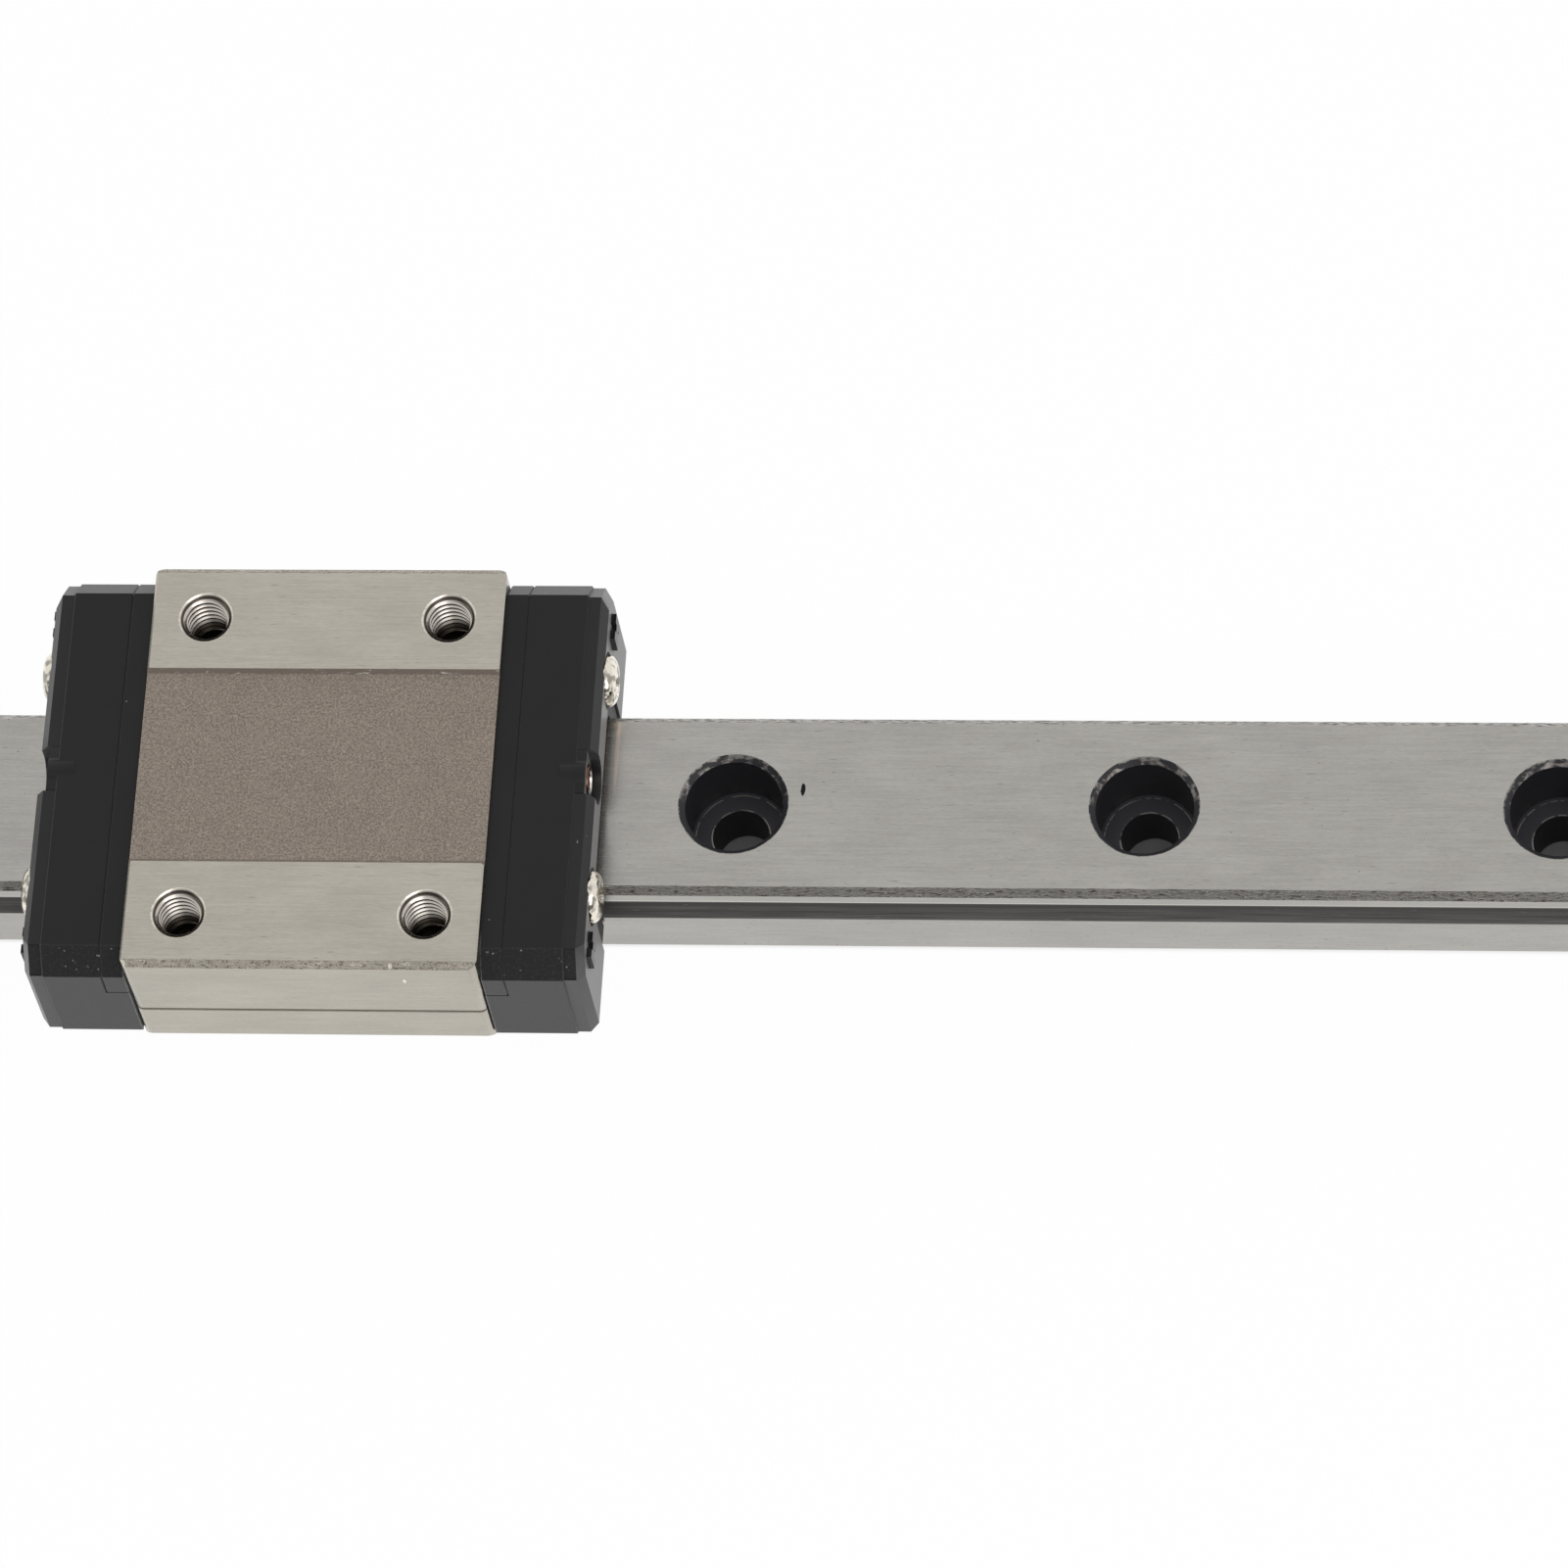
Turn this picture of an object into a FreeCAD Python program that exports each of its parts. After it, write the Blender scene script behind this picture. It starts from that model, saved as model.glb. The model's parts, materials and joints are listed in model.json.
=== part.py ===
"""Miniature profile rail guide, 12 mm size: a ground steel rail and a recirculating-ball carriage.

Frame: millimetres. The origin is the middle of the rail's bottom face, +X runs along the rail,
+Y across it and +Z up. The carriage stands on the rail over one of its holes.
Left is towards -X, right towards +X, front towards -Y and back towards +Y.
"""
import FreeCAD, Part
import math
import os

V = FreeCAD.Vector

# Rail section
rail_width = 12.0
rail_height = 8.0
rail_top_chamfer = 0.45
rail_bottom_chamfer = 0.7
rail_end_chamfer = 0.25

# Rail length and its fixing holes, each for a socket-head screw
rail_length = 150.0
hole_pitch = 25.0
hole_end_distance = 12.5
through_diameter = 3.5
counterbore_diameter = 6.0
counterbore_depth = 4.5
mouth_chamfer = 0.36

# Balls and the pointed-arch raceways that they run in
ball_diameter = 2.381
ball_spacing_gap = 0.05
raceway_gap = 0.05
raceway_relief = 0.1
raceway_drop = 2.5
rail_groove_depth = 0.65

# Carriage: how far its top stands above the rail's top
carriage_rise = 5.0

# Steel block
block_length = 21.7
block_width = 27.0
block_height = 10.0
block_side_gap = 0.5
block_top_gap = 0.7
block_edge_chamfer = 0.35
block_corner_radius = 0.6
block_end_chamfer = 0.15
recess_width = 13.1
recess_depth = 0.28
side_line_drop = 6.2
side_line_width = 0.3
side_line_depth = 0.18

# Tapped holes for the load that the carriage carries
tapped_spacing_x = 15.0
tapped_spacing_y = 20.0
tapped_drill_diameter = 2.5
tapped_mouth_diameter = 3.34
tapped_depth = 3.9

# Ball returns: the bores beside the loaded rows and the half-round turns that join them
return_play = 0.13
turn_lead = 0.3
tunnel_sides = 4

# Turn guides, between the block and the caps
guide_thickness = 1.4
guide_step_drop = 3.6
guide_lower_inset = 0.6
nose_height = 3.0
fit_gap = 0.06

# Moulded end caps
cap_thickness = 3.65
cap_top_drop = 0.6
cap_side_inset = 0.15
cap_bottom_rise = 0.5
cap_bevel_width = 1.4
cap_bevel_height = 1.5
cap_side_gap = 0.7
cap_top_gap = 0.9
seam_chamfer = 0.08

# End seals: a plate with a rubber lip round the rail
seal_thickness = 1.2
seal_inset = 0.1
seal_bottom_rise = 0.05
seal_rim_length = 0.45
seal_rim_inset = 0.6
lip_gap = 0.15
lip_side_width = 1.7
lip_top_width = 1.15
lip_corner = 2.2
lip_recess = 0.15

# Grease ports, each in a collar of the cap that fills a notch in the seal plate
port_diameter = 2.0
port_wall = 0.22
port_drop = 1.35
port_depth = 2.4
port_proud = 0.72
port_bore_depth = 2.3
collar_width = 2.88
collar_proud = 0.6

# Cap screws, and the bosses of the caps that hold the seal plates
screw_edge_distance = 6.05
screw_drop = 2.4
screw_shank_diameter = 1.7
screw_shank_length = 7.6
screw_head_diameter = 3.2
screw_head_height = 1.1
screw_head_chamfer = 0.2
screw_head_sink = 0.45
screw_head_clearance = 0.2
screw_clearance = 0.1
boss_edge_distance = 2.6
boss_drop = 2.6
boss_width = 1.7
boss_height = 1.6
boss_waist = 0.7
boss_proud = 0.3

# Places worked out from the sizes above
carriage_top = rail_height + carriage_rise
block_floor = carriage_top - block_height
raceway_height = rail_height - raceway_drop
side_line_height = carriage_top - side_line_drop
ball_radius = ball_diameter / 2
raceway_radius = ball_radius + raceway_relief
arch_shift = (raceway_relief - raceway_gap) * math.sqrt(0.5)
arch_reach = math.sqrt(raceway_radius ** 2 - arch_shift ** 2)
loaded_y = rail_width / 2 - rail_groove_depth + arch_reach - arch_shift
return_y = (loaded_y + raceway_radius + block_width / 2) / 2
return_radius = ball_radius + return_play
turn_radius = (return_y - loaded_y) / 2
turn_y = loaded_y + turn_radius
block_half = block_length / 2
turn_x = block_half + turn_lead
cap_start = block_half + guide_thickness
cap_end = cap_start + cap_thickness
seal_end = cap_end + seal_thickness
cap_half_width = block_width / 2 - cap_side_inset
cap_top = carriage_top - cap_top_drop
cap_bottom = block_floor + cap_bottom_rise
guide_step_height = cap_top - guide_step_drop
channel_half = rail_width / 2 + block_side_gap
channel_top = rail_height + block_top_gap
cap_channel_half = rail_width / 2 + cap_side_gap
cap_channel_top = rail_height + cap_top_gap
port_height = cap_top - port_drop
screw_y = cap_half_width - screw_edge_distance
screw_height = cap_top - screw_drop
screw_seat = seal_end - screw_head_sink
boss_y = cap_half_width - boss_edge_distance
boss_middle = cap_top - boss_drop
past = 1.0
same_place = 1e-6


def box(x0, x1, y0, y1, z0, z1):
    """A box between two corners."""
    return Part.makeBox(x1 - x0, y1 - y0, z1 - z0, V(x0, y0, z0))


def rod(x0, x1, y, z, radius):
    """A round bar along X."""
    return Part.makeCylinder(radius, x1 - x0, V(x0, y, z), V(1, 0, 0))


def flat(corners):
    """A face bounded by straight lines between its corners."""
    return Part.Face(Part.makePolygon(corners + [corners[0]]))


def section(points, x0, x1):
    """A bar along X with a straight-sided section, given as (y, z) corners."""
    return flat([V(x0, y, z) for y, z in points]).extrude(V(x1 - x0, 0, 0))


def both_sides(half):
    """A closed section from its back half, which runs from the top middle to the bottom middle."""
    return half + [(-y, z) for y, z in reversed(half)]


def mirror_x(shape):
    """The same shape on the carriage's other end."""
    return shape.mirror(V(0, 0, 0), V(1, 0, 0))


def mirror_y(shape):
    """The same shape on the other side of the rail."""
    return shape.mirror(V(0, 0, 0), V(0, 1, 0))


def pair(shape):
    """A shape of the back side and its mirror image at the front."""
    return [shape, mirror_y(shape)]


def turned(profile):
    """A solid turned about Z from its (radius, height) profile."""
    return flat([V(r, 0, h) for r, h in profile]).revolve(V(0, 0, 0), V(0, 0, 1), 360)


def arch_bar(y, x0, x1):
    """A bar along X whose section is the pointed arch that cuts a raceway: two arcs meeting in points."""
    near = V(x0, y - arch_reach, raceway_height)
    far = V(x0, y + arch_reach, raceway_height)
    top = V(x0, y, raceway_height - arch_shift + raceway_radius)
    bottom = V(x0, y, raceway_height + arch_shift - raceway_radius)
    edges = [Part.Arc(near, top, far).toShape(), Part.Arc(far, bottom, near).toShape()]
    return Part.Face(Part.Wire(edges)).extrude(V(x1 - x0, 0, 0))


def end_edges(shape, x, outside_half, outside_top):
    """The edges of an end face at x that lie outside a half width or above a height."""
    found = []
    for edge in shape.Edges:
        limits = edge.BoundBox
        middle = limits.Center
        outside = abs(middle.y) > outside_half or middle.z > outside_top
        if limits.XLength < same_place and abs(middle.x - x) < same_place and outside:
            found.append(edge)
    return found


def hole_places():
    """X of each fixing hole in the rail, from its left end to its right end."""
    span = rail_length - 2 * hole_end_distance
    count = round(span / hole_pitch) + 1
    return [(i - (count - 1) / 2) * hole_pitch for i in range(count)]


def rail_hole():
    """The counterbored hole for one fixing screw, with its chamfered mouth."""
    floor = rail_height - counterbore_depth
    rim = counterbore_diameter / 2
    return turned([
        (0, -past),
        (through_diameter / 2, -past),
        (through_diameter / 2, floor),
        (rim, floor),
        (rim, rail_height - mouth_chamfer),
        (rim + mouth_chamfer + past, rail_height + past),
        (0, rail_height + past),
    ])


def make_rail():
    """The ground rail: a bar with broken edges, a ball groove in each side and its fixing holes."""
    half = rail_width / 2
    end = rail_length / 2
    bar = section(both_sides([
        (half - rail_top_chamfer, rail_height),
        (half, rail_height - rail_top_chamfer),
        (half, rail_bottom_chamfer),
        (half - rail_bottom_chamfer, 0),
    ]), -end, end)
    edges = end_edges(bar, -end, 0, -past) + end_edges(bar, end, 0, -past)
    bar = bar.makeChamfer(rail_end_chamfer, edges)
    cuts = pair(arch_bar(loaded_y + arch_shift, -end - past, end + past))
    for x in hole_places():
        cuts.append(rail_hole().translated(V(x, 0, 0)))
    return bar.cut(cuts)


def tapped_hole():
    """One blind tapped hole at its drilled size, with a flat floor and a countersunk mouth."""
    drill = tapped_drill_diameter / 2
    mouth = tapped_mouth_diameter / 2
    floor = carriage_top - tapped_depth
    return turned([
        (0, floor),
        (drill, floor),
        (drill, carriage_top - (mouth - drill)),
        (mouth + past, carriage_top + past),
        (0, carriage_top + past),
    ])


def block_plan():
    """The block's outline seen from above, with its upright corners rounded."""
    half = block_width / 2
    plan = box(-block_half, block_half, -half, half, -past, carriage_top + past)
    corners = [edge for edge in plan.Edges if edge.BoundBox.ZLength > same_place]
    return plan.makeFillet(block_corner_radius, corners)


def block_side():
    """The block's outline seen from the side, with the edges of its ends broken at the top."""
    cut = block_end_chamfer
    right = [(block_half - cut, carriage_top), (block_half, carriage_top - cut), (block_half, 0)]
    outline = right + [(-x, z) for x, z in reversed(right)]
    return flat([V(x, -block_width, z) for x, z in outline]).extrude(V(0, 2 * block_width, 0))


def top_recess():
    """The shallow recess along the middle of the block's top, with its sides sloped at 45 degrees."""
    half = recess_width / 2
    return section(both_sides([
        (half + past, carriage_top + past),
        (half - recess_depth, carriage_top - recess_depth),
    ]), -block_length, block_length)


def screw_places():
    """(y, z) of the two cap screws at each end, the back one first."""
    return [(screw_y, screw_height), (-screw_y, screw_height)]


def screw_holes(x0, x1, radius):
    """Holes along X for the two cap screws of one end."""
    return [rod(x0, x1, y, z, radius) for y, z in screw_places()]


def make_block():
    """The steel block: a saddle over the rail with raceways, return bores and tapped holes."""
    half = block_width / 2
    line = side_line_width / 2
    edge = block_edge_chamfer
    block = section(both_sides([
        (half - edge, carriage_top),
        (half, carriage_top - edge),
        (half, side_line_height + line),
        (half - side_line_depth, side_line_height),
        (half, side_line_height - line),
        (half, block_floor + edge),
        (half - edge, block_floor),
        (channel_half + edge, block_floor),
        (channel_half, block_floor + edge),
        (channel_half, channel_top - edge),
        (channel_half - edge, channel_top),
    ]), -block_half, block_half)
    block = block.common(block_plan()).common(block_side())
    cuts = pair(arch_bar(loaded_y - arch_shift, -block_length, block_length))
    cuts += pair(rod(-block_length, block_length, return_y, raceway_height, return_radius))
    cuts.append(top_recess())
    for x in (-tapped_spacing_x / 2, tapped_spacing_x / 2):
        for y in (-tapped_spacing_y / 2, tapped_spacing_y / 2):
            cuts.append(tapped_hole().translated(V(x, y, 0)))
    for hole in screw_holes(screw_seat - screw_shank_length, block_length, screw_shank_diameter / 2):
        cuts += [hole, mirror_x(hole)]
    return block.cut(cuts)


def end_outline(inset, rise):
    """The bevelled outline of an end piece, without the channel for the rail."""
    half = cap_half_width - inset
    top = cap_top - inset
    return [
        (half - cap_bevel_width, top),
        (half, top - cap_bevel_height),
        (half, cap_bottom + rise),
    ]


def saddle(x0, x1):
    """A plate of the end outline that straddles the rail."""
    channel = [(cap_channel_half, cap_bottom), (cap_channel_half, cap_channel_top)]
    return section(both_sides(end_outline(0, 0) + channel), x0, x1)


def ends_broken(plate, x0, x1, size):
    """The plate with the outer edges of its faces at x0 and x1 broken, so that the seams show."""
    edges = end_edges(plate, x0, cap_channel_half + past, cap_channel_top + past)
    edges += end_edges(plate, x1, cap_channel_half + past, cap_channel_top + past)
    return plate.makeChamfer(size, edges)


def turn_tunnel():
    """The tunnel that carries the balls round from the loaded row to the return bore."""
    reach = return_radius / math.cos(math.pi / tunnel_sides)
    rim = []
    for i in range(tunnel_sides):
        angle = (i + 0.5) * 2 * math.pi / tunnel_sides
        rim.append((reach * math.cos(angle), raceway_height + reach * math.sin(angle)))
    at_loaded = flat([V(turn_x, loaded_y + y, z) for y, z in rim])
    at_return = flat([V(turn_x, return_y + y, z) for y, z in rim])
    turn = at_loaded.revolve(V(turn_x, turn_y, 0), V(0, 0, 1), 180)
    leads = [face.extrude(V(-turn_lead - past, 0, 0)) for face in (at_loaded, at_return)]
    return turn.fuse(leads)


def turn_nose(gap):
    """The half-round nose inside the turn, larger by the gap where it cuts its own pocket."""
    height = nose_height + 2 * gap
    floor = raceway_height - height / 2
    radius = turn_radius + gap
    post = Part.makeCylinder(radius, height, V(turn_x, turn_y, floor))
    root = box(block_half, turn_x, turn_y - radius, turn_y + radius, floor, floor + height)
    half = box(block_half, block_half + block_width, 0, block_width, 0, carriage_top)
    return post.fuse(root).common(half)


def make_guide():
    """The right turn guide: a thin plate on the block's end with a nose inside each ball turn."""
    plate = ends_broken(saddle(block_half, cap_start), block_half, cap_start, seam_chamfer)
    inner = cap_half_width - guide_lower_inset
    below = box(block_half - past, cap_start + past, inner, block_width, 0, guide_step_height)
    plate = plate.cut(pair(below)).fuse(pair(turn_nose(0)))
    holes = screw_holes(0, block_length, screw_shank_diameter / 2 + screw_clearance)
    return plate.cut(pair(turn_tunnel()) + holes)


def boss(gap, x0, x1):
    """The back boss, a waisted tongue, larger by the gap where it cuts its own opening."""
    wide = boss_width / 2 + gap
    tall = boss_height / 2 + gap
    waist = boss_waist / 2 + gap
    step = boss_width / 6 - gap
    half = [(step, waist), (step, tall), (wide, tall), (wide, -tall), (step, -tall), (step, -waist)]
    return section([(boss_y + y, boss_middle + z) for y, z in both_sides(half)], x0, x1)


def collar(gap, x0, x1, top):
    """The collar round the grease port, a tongue with a round foot, larger by the gap for its own notch."""
    reach = collar_width / 2 + gap
    upper = box(x0, x1, -reach, reach, port_height, top)
    return upper.fuse(rod(x0, x1, 0, port_height, reach))


def make_cap():
    """The right end cap: it closes the ball turns and reaches past the guide at its lower corners."""
    cap = ends_broken(saddle(cap_start, cap_end), cap_start, cap_end, seam_chamfer)
    inner = cap_half_width - guide_lower_inset + fit_gap
    corner = box(block_half, cap_start + past, inner, cap_half_width, cap_bottom, guide_step_height - fit_gap)
    tongue = boss(0, cap_end - past, seal_end + boss_proud)
    port_collar = collar(0, cap_end - past, cap_end + collar_proud, cap_top - seal_inset)
    cap = cap.fuse(pair(corner) + pair(tongue) + [port_collar])
    cuts = pair(turn_nose(fit_gap)) + pair(turn_tunnel())
    cuts.append(rod(cap_end - port_depth, seal_end, 0, port_height, port_diameter / 2))
    cuts += screw_holes(0, seal_end, screw_shank_diameter / 2 + screw_clearance)
    return cap.cut(cuts)


def make_port():
    """The right grease port: a metal bush in the cap, open to the outside."""
    end = cap_end + port_proud
    outer = port_diameter / 2
    bush = rod(cap_end - port_depth, end, 0, port_height, outer)
    return bush.cut(rod(end - port_bore_depth, end + past, 0, port_height, outer - port_wall))


def lip_channel(gap):
    """The rail's upper outline with a gap all round it, as (y, z) corners from the side to the top."""
    half = rail_width / 2 + gap
    top = rail_height + gap
    return [(half, top - rail_top_chamfer), (half - rail_top_chamfer, top)]


def lip_outside():
    """The outer corners of the lip, from its side to its top."""
    half = rail_width / 2 + lip_gap + lip_side_width
    top = rail_height + lip_gap + lip_top_width
    return [(half, top - lip_corner), (half - lip_corner, top)]


def head_recesses():
    """What the screws take out of the seal: their heads' recesses and their shanks' holes."""
    heads = screw_holes(screw_seat, seal_end + past, screw_head_diameter / 2 + screw_head_clearance)
    return heads + screw_holes(0, seal_end, screw_shank_diameter / 2 + screw_clearance)


def seal_outside():
    """The seal plate's outer form: its top and sides slope inwards towards its face."""
    start = seal_end - seal_rim_length
    rims = []
    for x, inset in ((start, seal_inset), (seal_end, seal_inset + seal_rim_inset)):
        corners = [V(x, y, z) for y, z in both_sides(end_outline(inset, seal_bottom_rise))]
        rims.append(Part.makePolygon(corners + [corners[0]]))
    straight = section(both_sides(end_outline(seal_inset, seal_bottom_rise)), cap_end, start)
    return straight.fuse(Part.makeLoft(rims, True, True))


def make_seal():
    """The right seal plate: it has a notch for the cap's collar and openings for its bosses."""
    x0, x1 = cap_end - past, seal_end + past
    lip = list(reversed(lip_outside()))
    channel = section(both_sides(lip + [(lip[-1][0], 0)]), x0, x1)
    notch = collar(fit_gap, x0, x1, cap_top + past)
    return seal_outside().cut([channel, notch] + pair(boss(fit_gap, x0, x1)) + head_recesses())


def make_lip():
    """The right seal's rubber lip: a band round the rail, with a tongue in each ball groove."""
    foot = cap_bottom + seal_bottom_rise
    outside = list(reversed(lip_outside()))
    inside = lip_channel(lip_gap)
    half = outside + [(outside[-1][0], foot), (inside[0][0], foot)] + inside
    end = seal_end - lip_recess
    band = section(both_sides(half), cap_end, end)
    tongues = pair(rod(cap_end, end, loaded_y, raceway_height, raceway_radius - lip_gap))
    return band.fuse(tongues).cut(head_recesses())


def make_screw(y, z):
    """One right-hand cap screw: a pan head with its rim broken, and its shank."""
    head = screw_head_diameter / 2
    shank = screw_shank_diameter / 2
    screw = turned([
        (0, -screw_shank_length),
        (shank, -screw_shank_length),
        (shank, 0),
        (head, 0),
        (head, screw_head_height - screw_head_chamfer),
        (head - screw_head_chamfer, screw_head_height),
        (0, screw_head_height),
    ])
    screw.Placement = FreeCAD.Placement(V(screw_seat, y, z), FreeCAD.Rotation(V(0, 0, 1), V(1, 0, 0)))
    return screw


def circuit_point(distance):
    """Where a ball's centre lies at a distance along the back circuit, as (x, y)."""
    straight = 2 * turn_x
    bend = math.pi * turn_radius
    if distance < straight:
        return distance - turn_x, loaded_y
    distance -= straight
    if distance < bend:
        angle = distance / turn_radius
        return turn_x + turn_radius * math.sin(angle), turn_y - turn_radius * math.cos(angle)
    distance -= bend
    if distance < straight:
        return turn_x - distance, return_y
    angle = (distance - straight) / turn_radius
    return -turn_x - turn_radius * math.sin(angle), turn_y + turn_radius * math.cos(angle)


def make_ball():
    """A ball in 20 flat faces, an icosahedron whose corners lie at the ball's true diameter."""
    around = 5
    height = ball_radius / math.sqrt(5)
    ring_radius = 2 * height
    poles = [V(0, 0, -ball_radius), V(0, 0, ball_radius)]
    rings = []
    for pole, z in enumerate((-height, height)):
        turns = [2 * math.pi * (i + pole / 2) / around for i in range(around)]
        rings.append([V(ring_radius * math.cos(a), ring_radius * math.sin(a), z) for a in turns])
    low, high = rings
    faces = []
    for i in range(around):
        after = (i + 1) % around
        faces.append(flat([poles[0], low[after], low[i]]))
        faces.append(flat([low[i], low[after], high[i]]))
        faces.append(flat([high[i], low[after], high[after]]))
        faces.append(flat([high[i], high[after], poles[1]]))
    return Part.Solid(Part.Shell(faces))


def make_balls():
    """The back circuit's balls, a hair apart, in the loaded row, the return bore and both turns."""
    length = 4 * turn_x + 2 * math.pi * turn_radius
    count = int(length / (ball_diameter + ball_spacing_gap))
    balls = []
    for i in range(count):
        x, y = circuit_point(i * length / count)
        balls.append(make_ball().translated(V(x, y, raceway_height)))
    return Part.makeCompound(balls)


def save(name, shape):
    """Write one piece to its own file."""
    shape.exportStep(os.path.join("parts", name + ".step"))


def save_carriage(name, shape):
    """Write one piece of the carriage, which stands over the rail's second hole from the left."""
    save(name, shape.translated(V(hole_places()[1], 0, 0)))


def main():
    """Build every piece and write it."""
    os.makedirs("parts", exist_ok=True)
    save("guide_rail", make_rail())
    save_carriage("carriage_block", make_block())
    ends = {
        "turn_guide": make_guide(),
        "end_cap": make_cap(),
        "grease_port": make_port(),
        "end_seal": make_seal(),
        "seal_lip": make_lip(),
    }
    for name, shape in ends.items():
        save_carriage(name + "_left", mirror_x(shape))
        save_carriage(name + "_right", shape)
    for row, (y, z) in zip(("back", "front"), screw_places()):
        screw = make_screw(y, z)
        save_carriage("cap_screw_left_" + row, mirror_x(screw))
        save_carriage("cap_screw_right_" + row, screw)
    balls = make_balls()
    save_carriage("balls_front", mirror_y(balls))
    save_carriage("balls_back", balls)


main()
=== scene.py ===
"""Finishes, threads, screws and stage for a miniature profile rail and its ball carriage.

Everything is in metres, in the part's own frame: +X along the rail, +Y to its back, +Z up.
Inside a material, places are in millimetres of the same frame.
"""
import json
import math

import bmesh
import bpy
from bpy.props import FloatProperty, FloatVectorProperty, IntProperty, PointerProperty
from bpy.types import Operator, Panel, PropertyGroup
from mathutils import Matrix, Quaternion, Vector

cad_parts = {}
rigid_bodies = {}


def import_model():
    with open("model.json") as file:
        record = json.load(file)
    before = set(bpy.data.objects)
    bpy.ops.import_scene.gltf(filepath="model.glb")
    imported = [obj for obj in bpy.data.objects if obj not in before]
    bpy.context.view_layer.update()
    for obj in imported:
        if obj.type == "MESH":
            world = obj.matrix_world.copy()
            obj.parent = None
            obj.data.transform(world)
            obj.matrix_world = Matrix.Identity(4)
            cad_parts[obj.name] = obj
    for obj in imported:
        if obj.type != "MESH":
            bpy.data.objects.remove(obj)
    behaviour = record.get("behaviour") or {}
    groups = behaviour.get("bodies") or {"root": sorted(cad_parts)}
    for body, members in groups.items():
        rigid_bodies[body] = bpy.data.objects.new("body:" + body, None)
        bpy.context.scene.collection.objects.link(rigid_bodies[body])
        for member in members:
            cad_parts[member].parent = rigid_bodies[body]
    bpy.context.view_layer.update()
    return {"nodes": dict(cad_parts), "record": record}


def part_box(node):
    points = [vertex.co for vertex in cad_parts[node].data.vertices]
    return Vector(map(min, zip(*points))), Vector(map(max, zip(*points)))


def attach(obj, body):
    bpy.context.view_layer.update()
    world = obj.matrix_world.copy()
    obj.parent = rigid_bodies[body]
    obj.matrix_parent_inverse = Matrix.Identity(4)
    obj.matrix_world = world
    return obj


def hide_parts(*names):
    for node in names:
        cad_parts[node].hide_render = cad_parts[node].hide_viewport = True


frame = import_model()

bl_info = {
    "name": "Profile Rail Looks",
    "version": (1, 0, 0),
    "blender": (4, 5, 0),
    "location": "3D View > Sidebar > Profile Rail",
    "description": "Finishes, threads, screws and stage for a miniature profile rail and its carriage",
    "category": "Object",
}

MM = 0.001
SAME_POINT = 0.0005 * MM
MOUNTS = {mount["name"]: mount for mount in frame["record"]["mounts"]}
NODE_BODY = {
    node: body for body, nodes in frame["record"]["behaviour"]["bodies"].items() for node in nodes
}
ENDS = ("left", "right")
ROWS = ("back", "front")

# Places on the rail, in millimetres
HOLE_PITCH = MOUNTS["rail_holes_inner"]["dims"]["spacing_x_mm"]
RAIL_END, RAIL_HALF, RAIL_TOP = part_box("guide_rail")[1] / MM
RAIL_CHAMFER = 0.445
MOUTH_RADIUS = 3.375
MOUTH_DEPTH = 0.36
SEAT_HEIGHT = 3.5
SEAT_RIM = 2.78
THROUGH_RADIUS = MOUNTS["rail_holes_inner"]["dims"]["hole_r_mm"]
GROOVE_LOW, GROOVE_HIGH = 4.3, 6.7
GROOVE_BOTTOM = 0.535
GROOVE_EDGE = 6.74
STREAK_RADII = (0.13, 2.4, 1.0)

# Places on the carriage, in millimetres
BLOCK_LOW, BLOCK_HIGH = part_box("carriage_block")
BLOCK_MIDDLE = (BLOCK_LOW.x + BLOCK_HIGH.x) / 2 / MM
BLOCK_HALF = (BLOCK_HIGH.x - BLOCK_LOW.x) / 2 / MM
BLOCK_SIDE = BLOCK_HIGH.y / MM
BLOCK_TOP = BLOCK_HIGH.z / MM
BLOCK_CHAMFER = 0.385
BLOCK_FLECKS = (
    ((-48.2, -13.2, 12.7), (0.3, 0.3, 0.3)),
    ((-31.88, -13.3, 12.75), (0.14, 0.2, 0.2)),
    ((-31.23, -13.5, 11.01), (0.1, 0.3, 0.24)),
)
RECESS_HALF = 6.575
RECESS_DEPTH = 0.28
SIDE_LINE = 6.8
TAPPED = MOUNTS["carriage_tapped_holes"]["dims"]
TAPPED_FLOOR = 9.1
TAPPED_MOUTH = 1.67
THREAD_RING = 1.49
BEVEL_SIDE = 11.9
BEVEL_HEIGHT = 10.9
CAP_START, CAP_END = (corner.x / MM - BLOCK_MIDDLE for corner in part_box("end_cap_right"))
SEAL_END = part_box("end_seal_right")[1].x / MM - BLOCK_MIDDLE
BOSS_SIDE = 5.0
PORT_BORE = 0.83
PORT_LIP = 0.13

# How far the cross of each screw is turned, in degrees
SCREW_TURNS = {("left", "back"): 20, ("left", "front"): 65, ("right", "back"): 35, ("right", "front"): 8}

# How far the floor lies below the rail, so that their faces don't meet
FLOOR_DROP = 0.05 * MM

# Tones of worn plastic, and of the highlight painted on the grease port's lip
BLACK = (0.0, 0.0, 0.0)
BEVEL_TONE = (0.014, 0.014, 0.015)
RUBBED_TONE = (0.07, 0.07, 0.07)
WORN_TONE = (0.16, 0.16, 0.155)
BIT_TONE = (0.25, 0.25, 0.245)
FLECK_TONE = (0.3, 0.3, 0.29)
LIP_HIGHLIGHT_TONE = (0.85, 0.8, 0.75)

# How finely round shapes are divided
THREAD_STEPS = 40
HEAD_STEPS = 48
DOME_STEPS = 6
SHANK_STEPS = 24


def collection_objects():
    """The scene's own list of objects."""
    return bpy.context.scene.collection.objects


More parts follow.
